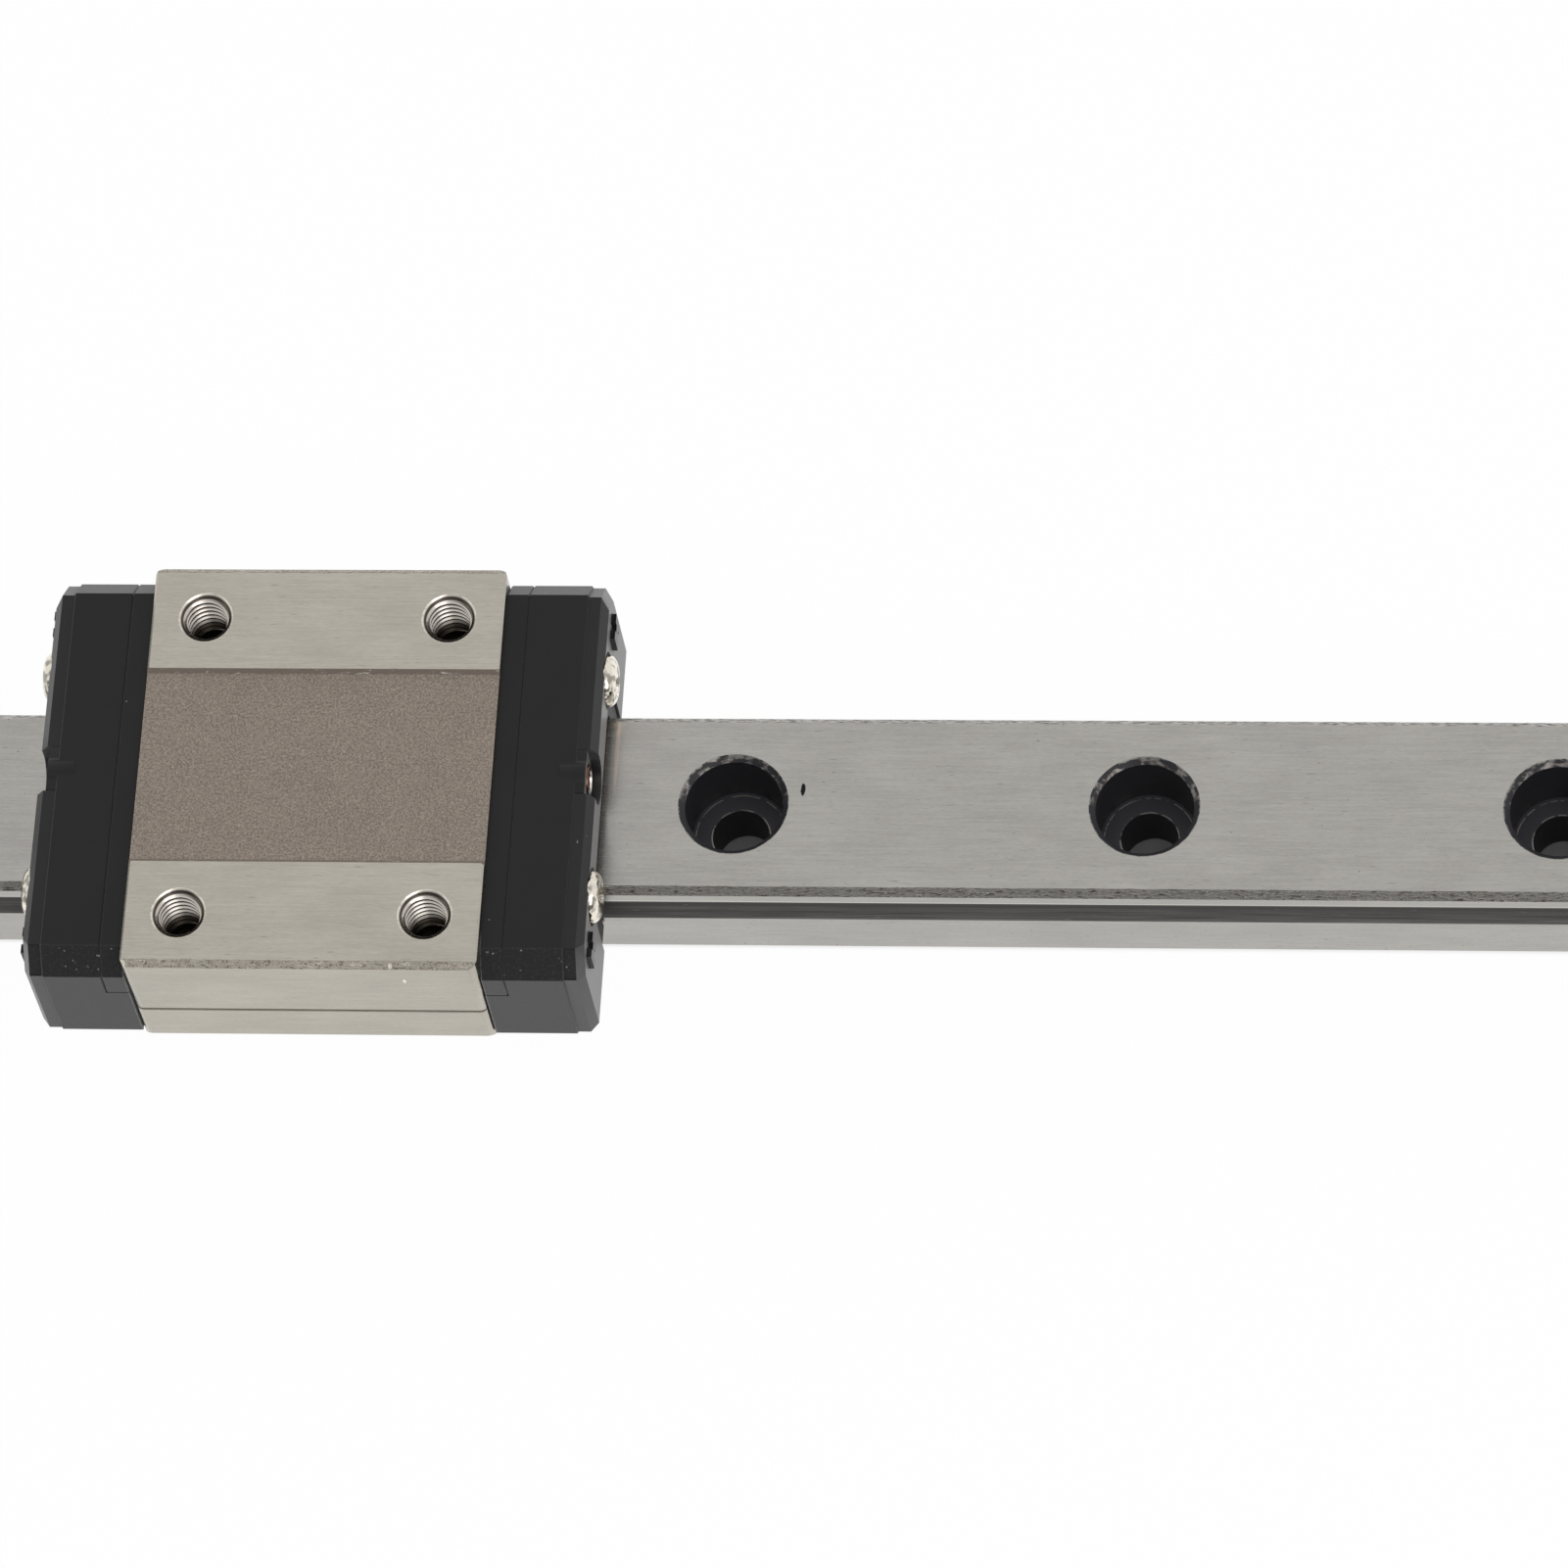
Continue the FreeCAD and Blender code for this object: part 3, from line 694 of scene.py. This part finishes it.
def thread_tool(spot, floor, sizes):
    """The winding ridge that cuts one tapped hole's thread, round an upright axis through the spot."""
    root = sizes.pitch * 0.44
    crest = sizes.pitch * 0.08
    inner = TAPPED["hole_r_mm"] * MM - 0.06 * MM
    outer = sizes.diameter / 2
    turns = (BLOCK_TOP * MM - floor) / sizes.pitch
    tool = bmesh.new()
    corners = [(inner, -root), (outer, -crest), (outer, crest), (inner, root)]
    verts = [tool.verts.new(spot + Vector((radius, 0, floor + height))) for radius, height in corners]
    first = tool.faces.new(verts)
    count = round(THREAD_STEPS * turns)
    bmesh.ops.spin(tool, geom=[first, *first.edges, *verts], cent=spot, axis=(0, 0, 1),
                   dvec=(0, 0, sizes.pitch / THREAD_STEPS), angle=2 * math.pi * count / THREAD_STEPS,
                   steps=count, use_duplicate=False)
    bmesh.ops.remove_doubles(tool, verts=tool.verts, dist=SAME_POINT)
    bmesh.ops.recalc_face_normals(tool, faces=tool.faces)
    return tool


def screw_head(sizes):
    """A domed pan head with a cross recess, standing on the XY plane."""
    radius = sizes.head_diameter / 2
    height = sizes.head_height
    rim = height * 0.42
    dome_width = (height - rim) * 1.1
    dome_height = (height - rim) * 0.9
    points = [Vector((0, 0, 0)), Vector((radius, 0, 0)), Vector((radius, 0, rim))]
    for i in range(1, DOME_STEPS + 1):
        angle = math.pi / 2 * i / DOME_STEPS
        inward = dome_width * (1 - math.cos(angle))
        points.append(Vector((radius - inward, 0, rim + dome_height * math.sin(angle))))
    points.append(Vector((0, 0, height)))
    head = bmesh.new()
    verts = [head.verts.new(point) for point in points]
    edges = [head.edges.new(pair) for pair in zip(verts, verts[1:])]
    bmesh.ops.spin(head, geom=[*verts, *edges], cent=(0, 0, 0), axis=(0, 0, 1), angle=2 * math.pi,
                   steps=HEAD_STEPS, use_merge=True)
    bmesh.ops.remove_doubles(head, verts=head.verts, dist=SAME_POINT)
    bmesh.ops.recalc_face_normals(head, faces=head.faces)
    for turn in (0, math.pi / 2):
        head = cut(head, cross_bar(sizes, turn))
    return head


def cross_bar(sizes, turn):
    """The tapered bar that cuts one slot of the cross, turned by an angle."""
    bar = bmesh.new()
    bmesh.ops.create_cube(bar, size=1.0)
    bmesh.ops.scale(bar, vec=(sizes.cross_width, sizes.slot_width, sizes.cross_depth), verts=bar.verts)
    low = [v for v in bar.verts if v.co.z < 0]
    bmesh.ops.scale(bar, vec=(0.35, 0.8, 1), verts=low)
    middle = sizes.head_height - sizes.cross_depth / 2 + 0.02 * MM
    bmesh.ops.translate(bar, vec=(0, 0, middle), verts=bar.verts)
    bmesh.ops.rotate(bar, cent=(0, 0, 0), matrix=Matrix.Rotation(turn, 3, "Z"), verts=bar.verts)
    return bar


def shank(sizes, length):
    """A plain shank that hangs under the head, down to its length."""
    pin = bmesh.new()
    radius = sizes.shank_diameter / 2
    bmesh.ops.create_cone(pin, cap_ends=True, segments=SHANK_STEPS, radius1=radius, radius2=radius,
                          depth=length)
    bmesh.ops.translate(pin, vec=(0, 0, -length / 2), verts=pin.verts)
    return pin


def colour_field(name, description, default):
    """A colour that a user can change."""
    return FloatVectorProperty(name=name, description=description, subtype="COLOR", size=3, min=0, max=1,
                               default=default)


def length_field(name, description, default):
    """A length in metres that a user can change."""
    return FloatProperty(name=name, description=description, subtype="DISTANCE", unit="LENGTH", min=0.00001,
                         default=default)


def axes_field(name, description, default):
    """A place or some radii that a user can change, in millimetres along each axis."""
    return FloatVectorProperty(name=name, description=description, subtype="XYZ", size=3, default=default)


def place_field(name, description, default):
    """A place in metres that a user can change."""
    return FloatVectorProperty(name=name, description=description, subtype="TRANSLATION", unit="LENGTH",
                               size=3, default=default)


class RailFinish(PropertyGroup):
    """Colours and marks of the rail."""

    ground_colour: colour_field("Ground steel", "Colour of the rail's ground faces", (0.43, 0.415, 0.39))
    grain_length: length_field("Grinding marks", "Length of the marks that grinding left", 0.003)
    chamfer_colour: colour_field("Chamfers", "Colour of the rough top chamfers", (0.09, 0.068, 0.058))
    patch_colour: colour_field("Patches", "Colour of the chamfers' greyer patches", (0.083, 0.082, 0.069))
    groove_colour: colour_field("Grooves", "Colour of the ball grooves", (0.145, 0.14, 0.135))
    oxide_colour: colour_field("Fixing holes", "Colour of the blackened fixing holes", (0.017, 0.017, 0.02))
    worn_colour: colour_field("Worn mouths", "Colour where the holes' mouths are worn", (0.42, 0.385, 0.365))
    streak_colour: colour_field("Streak", "Colour of the warm streak beside the carriage", (0.62, 0.52, 0.46))
    streak_place: axes_field("Streak place", "Middle of the warm streak, in millimetres", (-19.85, 3.4, 8.0))
    stain_place: axes_field("Spot place", "Middle of the black spot, in millimetres", (-8.3, 1.0, 8.0))
    stain_radii: axes_field("Spot size", "Radii of the black spot, in millimetres", (0.14, 0.42, 1.0))


class BlockFinish(PropertyGroup):
    """Colours, marks and threads of the carriage block."""

    ground_colour: colour_field("Ground steel", "Colour of the block's ground faces", (0.487, 0.46, 0.4))
    grain_length: length_field("Grinding marks", "Length of the marks that grinding left", 0.004)
    recess_colour: colour_field("Recess", "Colour of the blasted recess", (0.29, 0.245, 0.205))
    edge_colour: colour_field("Chamfers", "Colour of the block's rough chamfers", (0.38, 0.335, 0.285))
    thread_colour: colour_field("Threads", "Colour of the tapped holes", (0.62, 0.57, 0.52))
    thread_shade_colour: colour_field("Thread shade", "Colour of the shaded bottoms of the threads", (0.03, 0.025, 0.02))
    edge: length_field("Edge rounding", "Rounding of the block's edges", 0.00004)
    diameter: length_field("Thread diameter", "Outer diameter of the threads", 0.003)
    pitch: FloatProperty(
        name="Thread pitch", description="Height of one turn of the threads",
        subtype="DISTANCE", unit="LENGTH", min=0.0001, default=0.0005)


class EndFinish(PropertyGroup):
    """Colours and edges of the pieces at the carriage's ends."""

    cap_colour: colour_field("End caps", "Colour of the end caps and turn guides", (0.004, 0.004, 0.0045))
    seal_colour: colour_field("Seal plates", "Colour of the end seals' plates", (0.005, 0.005, 0.0055))
    lip_colour: colour_field("Seal lips", "Colour of the rubber lips", (0.008, 0.008, 0.008))
    port_colour: colour_field("Grease ports", "Colour of the grease ports' bushes", (0.55, 0.3, 0.22))
    edge: length_field("Edge rounding", "Rounding of the moulded edges", 0.00008)
    seal_edge: length_field("Seal rounding", "Rounding of the seal plates' edges", 0.00018)


class ScrewSizes(PropertyGroup):
    """Sizes and colour of the cap screws, and the look of the balls."""

    colour: colour_field("Plating", "Colour of the cap screws", (0.72, 0.68, 0.59))
    head_diameter: length_field("Head diameter", "Diameter of a cap screw's head", 0.0032)
    head_height: length_field("Head height", "Height of a cap screw's head", 0.0011)
    shank_diameter: length_field("Shank diameter", "Diameter of a cap screw's shank", 0.0017)
    cross_width: length_field("Cross width", "Width of the cross recess from tip to tip", 0.0019)
    slot_width: length_field("Slot width", "Width of each slot of the cross", 0.00048)
    cross_depth: length_field("Cross depth", "Depth of the cross recess", 0.0007)
    ball_colour: colour_field("Balls", "Colour of the polished balls", (0.7, 0.7, 0.7))
    ball_steps: IntProperty(
        name="Ball steps", description="How often each ball's faces are divided",
        min=1, max=4, default=3)


class StageSettings(PropertyGroup):
    """The floor, the light and the camera."""

    floor_colour: colour_field("Floor", "Colour of the floor under the light", (0.9, 0.9, 0.9))
    hidden_colour: colour_field("Under the rail", "Colour of the floor below the holes", (0.4, 0.4, 0.4))
    shadow: FloatProperty(
        name="Shadow", description="How much of the object's shadow the white floor keeps",
        subtype="FACTOR", min=0, max=1, default=0.025)
    sky: FloatProperty(
        name="Sky", description="Strength of the light from above and from the sides",
        min=0, default=0.85)
    front_sky: FloatProperty(
        name="Front", description="Strength of the light from low in front",
        min=0, default=0.15)
    lamp_power: FloatProperty(
        name="Lamp", description="Power of the large soft lamp",
        unit="POWER", min=0, default=2.5)
    lamp_size: length_field("Lamp size", "Diameter of the soft lamp", 0.8)
    lamp_place: place_field("Lamp place", "Where the soft lamp stands", (0.5, -0.6, 0.8))
    camera_place: place_field("Camera", "Where the camera stands", (0.063708, -0.26959, 0.553148))
    camera_target: place_field("Target", "The point that the camera looks at", (-0.010303, 0.004398, 0.0019))
    camera_roll: FloatProperty(
        name="Roll", description="How far the camera leans to the right",
        subtype="ANGLE", unit="ROTATION", default=math.radians(13.17))
    focal_length: FloatProperty(
        name="Focal length", description="The lens, on a sensor 36 mm wide",
        subtype="DISTANCE_CAMERA", unit="CAMERA", default=232.07)


class PROFILE_RAIL_OT_dress_rail(Operator):
    """Give the rail its ground, rough and blackened faces"""

    bl_idname = "profile_rail.dress_rail"
    bl_label = "Dress Rail"

    def execute(self, context):
        rail = frame["nodes"]["guide_rail"]
        rail.data.materials.clear()
        rail.data.materials.append(rail_finish(context.scene.rail_finish))
        return {"FINISHED"}


class PROFILE_RAIL_OT_cut_block(Operator):
    """Finish the steel block and cut the threads in its tapped holes"""

    bl_idname = "profile_rail.cut_block"
    bl_label = "Cut Block"

    def execute(self, context):
        looks = context.scene.block_finish
        block = rounded(merged("carriage_block"), looks.edge)
        half_x = TAPPED["spacing_x_mm"] / 2
        half_y = TAPPED["spacing_y_mm"] / 2
        tools = []
        for x in (BLOCK_MIDDLE - half_x, BLOCK_MIDDLE + half_x):
            for y in (-half_y, half_y):
                tools.append(thread_tool(Vector((x, y, 0)) * MM, TAPPED_FLOOR * MM, looks))
        block = cut(block, joined(tools))
        piece = finished(block, "block_with_threads", block_finish(looks))
        stand_for(piece, "carriage_block")
        return {"FINISHED"}


class PROFILE_RAIL_OT_mould_ends(Operator):
    """Finish the turn guides, end caps, seals and grease ports at both ends"""

    bl_idname = "profile_rail.mould_ends"
    bl_label = "Mould Ends"

    def execute(self, context):
        looks = context.scene.end_finish
        moulded = {"roughness": 0.42, "gloss": 0.24, "sheen": 0.25}
        materials = {
            "turn_guide": plastic_finish("guide_plastic", looks.cap_colour, **moulded),
            "end_cap": plastic_finish("cap_plastic", looks.cap_colour, **moulded),
            "end_seal": plastic_finish("seal_plastic", looks.seal_colour,
                                       roughness=0.36, gloss=0.28, sheen=0.3),
            "seal_lip": plastic_finish("lip_rubber", looks.lip_colour, roughness=0.5, gloss=0.2, sheen=0.0),
            "grease_port": port_finish("port_brass", looks.port_colour),
        }
        for kind, material in materials.items():
            for end in ENDS:
                node = kind + "_" + end
                width = looks.seal_edge if kind == "end_seal" else looks.edge
                piece = finished(rounded(merged(node), width), node + "_moulded", material)
                stand_for(piece, node)
        return {"FINISHED"}


class PROFILE_RAIL_OT_drive_screws(Operator):
    """Put a pan-head screw with a cross recess in place of each plain one"""

    bl_idname = "profile_rail.drive_screws"
    bl_label = "Drive Screws"

    def execute(self, context):
        sizes = context.scene.screw_sizes
        material = metal_finish("screw_steel", sizes.colour, roughness=0.12, dents=0.08)
        for (end, row), turn in SCREW_TURNS.items():
            node = "cap_screw_%s_%s" % (end, row)
            low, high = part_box(node)
            length = high.x - low.x - sizes.head_height
            shape = joined([screw_head(sizes), shank(sizes, length)])
            outward = Vector((1 if end == "right" else -1, 0, 0))
            seat = (low + high) / 2
            seat.x = high.x if end == "right" else low.x
            seat -= outward * sizes.head_height
            aim = outward.to_track_quat("Z", "Y") @ Quaternion((0, 0, 1), math.radians(turn))
            driven = Matrix.Translation(seat) @ aim.to_matrix().to_4x4()
            bmesh.ops.transform(shape, matrix=driven, verts=shape.verts)
            piece = finished(shape, node + "_driven", material)
            stand_for(piece, node)
        return {"FINISHED"}


class PROFILE_RAIL_OT_fill_balls(Operator):
    """Put round polished balls in place of the flat-faced ones"""

    bl_idname = "profile_rail.fill_balls"
    bl_label = "Fill Balls"

    def execute(self, context):
        sizes = context.scene.screw_sizes
        material = metal_finish("ball_steel", sizes.ball_colour, roughness=0.12, dents=0.001)
        for row in ROWS:
            node = "balls_" + row
            rough = merged(node)
            balls = bmesh.new()
            for lump in lumps(rough):
                middle = sum((vert.co for vert in lump), Vector()) / len(lump)
                radius = (lump[0].co - middle).length
                bmesh.ops.create_icosphere(balls, subdivisions=sizes.ball_steps, radius=radius,
                                           matrix=Matrix.Translation(middle))
            rough.free()
            piece = finished(balls, node + "_round", material)
            stand_for(piece, node)
        return {"FINISHED"}


class PROFILE_RAIL_OT_set_stage(Operator):
    """Lay the white floor, light it and place the camera"""

    bl_idname = "profile_rail.set_stage"
    bl_label = "Set Stage"

    def execute(self, context):
        settings = context.scene.stage_settings
        self.lay_floor(settings)
        self.light(context, settings)
        self.hang_lamp(settings)
        self.place_camera(context, settings)
        context.scene.view_settings.view_transform = "Standard"
        return {"FINISHED"}

    def lay_floor(self, settings):
        """A white floor that keeps a trace of the object's shadow, and is plain under the rail, where it is
        painted grey as shade.
        """
        shape = bmesh.new()
        bmesh.ops.create_grid(shape, x_segments=1, y_segments=1, size=1.5)
        bmesh.ops.translate(shape, vec=(0, 0, -FLOOR_DROP), verts=shape.verts)
        mesh = bpy.data.meshes.new("floor")
        shape.to_mesh(mesh)
        shape.free()
        floor = bpy.data.objects.new("floor", mesh)
        collection_objects().link(floor)
        material = bpy.data.materials.new("white_floor")
        graph = Graph(material)
        x, y, _ = graph.split(graph.place())
        open_floor = graph.any_of(graph.rise(graph.math("ABSOLUTE", x), RAIL_END - 1, RAIL_END),
                                  graph.rise(graph.math("ABSOLUTE", y), RAIL_HALF - 1, RAIL_HALF))
        path = graph.tree.nodes.new("ShaderNodeLightPath")
        kinds = ("Is Camera Ray", "Is Glossy Ray", "Is Transmission Ray")
        seen = graph.any_of(*(path.outputs[kind] for kind in kinds))
        cloth = graph.tree.nodes.new("ShaderNodeBsdfDiffuse")
        # Painted shade: under the rail the floor is painted grey instead of white.
        tone = graph.mix(open_floor, settings.hidden_colour, settings.floor_colour)
        graph.feed(cloth.inputs["Color"], tone)
        glow = graph.tree.nodes.new("ShaderNodeEmission")
        mix = graph.tree.nodes.new("ShaderNodeMixShader")
        graph.feed(mix.inputs["Fac"], graph.part(graph.all_of(seen, open_floor), 1 - settings.shadow))
        graph.feed(mix.inputs[1], cloth.outputs[0])
        graph.feed(mix.inputs[2], glow.outputs[0])
        graph.end(mix.outputs[0], "ShaderNodeOutputMaterial")
        mesh.materials.append(material)

    def light(self, context, settings):
        """A pale room that is dark low in front, and white where the camera sees it."""
        world = bpy.data.worlds.new("studio")
        context.scene.world = world
        graph = Graph(world)
        way = graph.tree.nodes.new("ShaderNodeTexCoord").outputs["Generated"]
        _, y, z = graph.split(way)
        in_front = graph.all_of(graph.rise(y, -0.2, -0.75), graph.rise(z, 0.75, 0.35))
        sky = graph.tree.nodes.new("ShaderNodeBackground")
        graph.feed(sky.inputs["Strength"], graph.blend(in_front, settings.sky, settings.front_sky))
        white = graph.tree.nodes.new("ShaderNodeBackground")
        for background in (sky, white):
            background.inputs["Color"].default_value = (1, 1, 1, 1)
        path = graph.tree.nodes.new("ShaderNodeLightPath")
        mix = graph.tree.nodes.new("ShaderNodeMixShader")
        graph.feed(mix.inputs["Fac"], path.outputs["Is Camera Ray"])
        graph.feed(mix.inputs[1], sky.outputs[0])
        graph.feed(mix.inputs[2], white.outputs[0])
        graph.end(mix.outputs[0], "ShaderNodeOutputWorld")

    def hang_lamp(self, settings):
        """A large soft lamp that shines on the middle of the rail."""
        lamp = bpy.data.lights.new("soft_lamp", "AREA")
        lamp.shape = "DISK"
        lamp.size = settings.lamp_size
        lamp.energy = settings.lamp_power
        holder = bpy.data.objects.new("soft_lamp", lamp)
        holder.location = settings.lamp_place
        holder.rotation_euler = (-holder.location).to_track_quat("-Z", "Y").to_euler()
        collection_objects().link(holder)

    def place_camera(self, context, settings):
        """The camera, at the photograph's viewing angle."""
        lens = bpy.data.cameras.new("view")
        lens.lens = settings.focal_length
        lens.sensor_width = 36
        lens.clip_start = 0.01
        lens.clip_end = 10
        camera = bpy.data.objects.new("view", lens)
        camera.location = settings.camera_place
        aim = (Vector(settings.camera_target) - Vector(settings.camera_place)).to_track_quat("-Z", "Y")
        lean = Quaternion((0, 0, 1), -settings.camera_roll)
        camera.rotation_euler = (aim @ lean).to_euler()
        collection_objects().link(camera)
        context.scene.camera = camera


GROUPS = {
    "rail_finish": RailFinish,
    "block_finish": BlockFinish,
    "end_finish": EndFinish,
    "screw_sizes": ScrewSizes,
    "stage_settings": StageSettings,
}
OPERATORS = (
    PROFILE_RAIL_OT_dress_rail,
    PROFILE_RAIL_OT_cut_block,
    PROFILE_RAIL_OT_mould_ends,
    PROFILE_RAIL_OT_drive_screws,
    PROFILE_RAIL_OT_fill_balls,
    PROFILE_RAIL_OT_set_stage,
)


class PROFILE_RAIL_PT_looks(Panel):
    """The sizes and colours of the profile rail, and a button for each of its pieces"""

    bl_idname = "PROFILE_RAIL_PT_looks"
    bl_label = "Profile Rail"
    bl_space_type = "VIEW_3D"
    bl_region_type = "UI"
    bl_category = "Profile Rail"

    def draw(self, context):
        for name, group in GROUPS.items():
            box = self.layout.box()
            box.label(text=group.__doc__)
            for field in group.__annotations__:
                box.prop(getattr(context.scene, name), field)
        for operator in OPERATORS:
            self.layout.operator(operator.bl_idname)


def register():
    """Make the groups, operators and panel known."""
    for name, group in GROUPS.items():
        bpy.utils.register_class(group)
        setattr(bpy.types.Scene, name, PointerProperty(type=group))
    for operator in OPERATORS:
        bpy.utils.register_class(operator)
    bpy.utils.register_class(PROFILE_RAIL_PT_looks)


def unregister():
    """Take the panel, operators and groups away again."""
    bpy.utils.unregister_class(PROFILE_RAIL_PT_looks)
    for operator in reversed(OPERATORS):
        bpy.utils.unregister_class(operator)
    for name, group in reversed(GROUPS.items()):
        delattr(bpy.types.Scene, name)
        bpy.utils.unregister_class(group)


def main():
    """Build the looks piece by piece."""
    register()
    bpy.ops.profile_rail.dress_rail()
    bpy.ops.profile_rail.cut_block()
    bpy.ops.profile_rail.mould_ends()
    bpy.ops.profile_rail.drive_screws()
    bpy.ops.profile_rail.fill_balls()
    bpy.ops.profile_rail.set_stage()


if __name__ == "__main__":
    main()
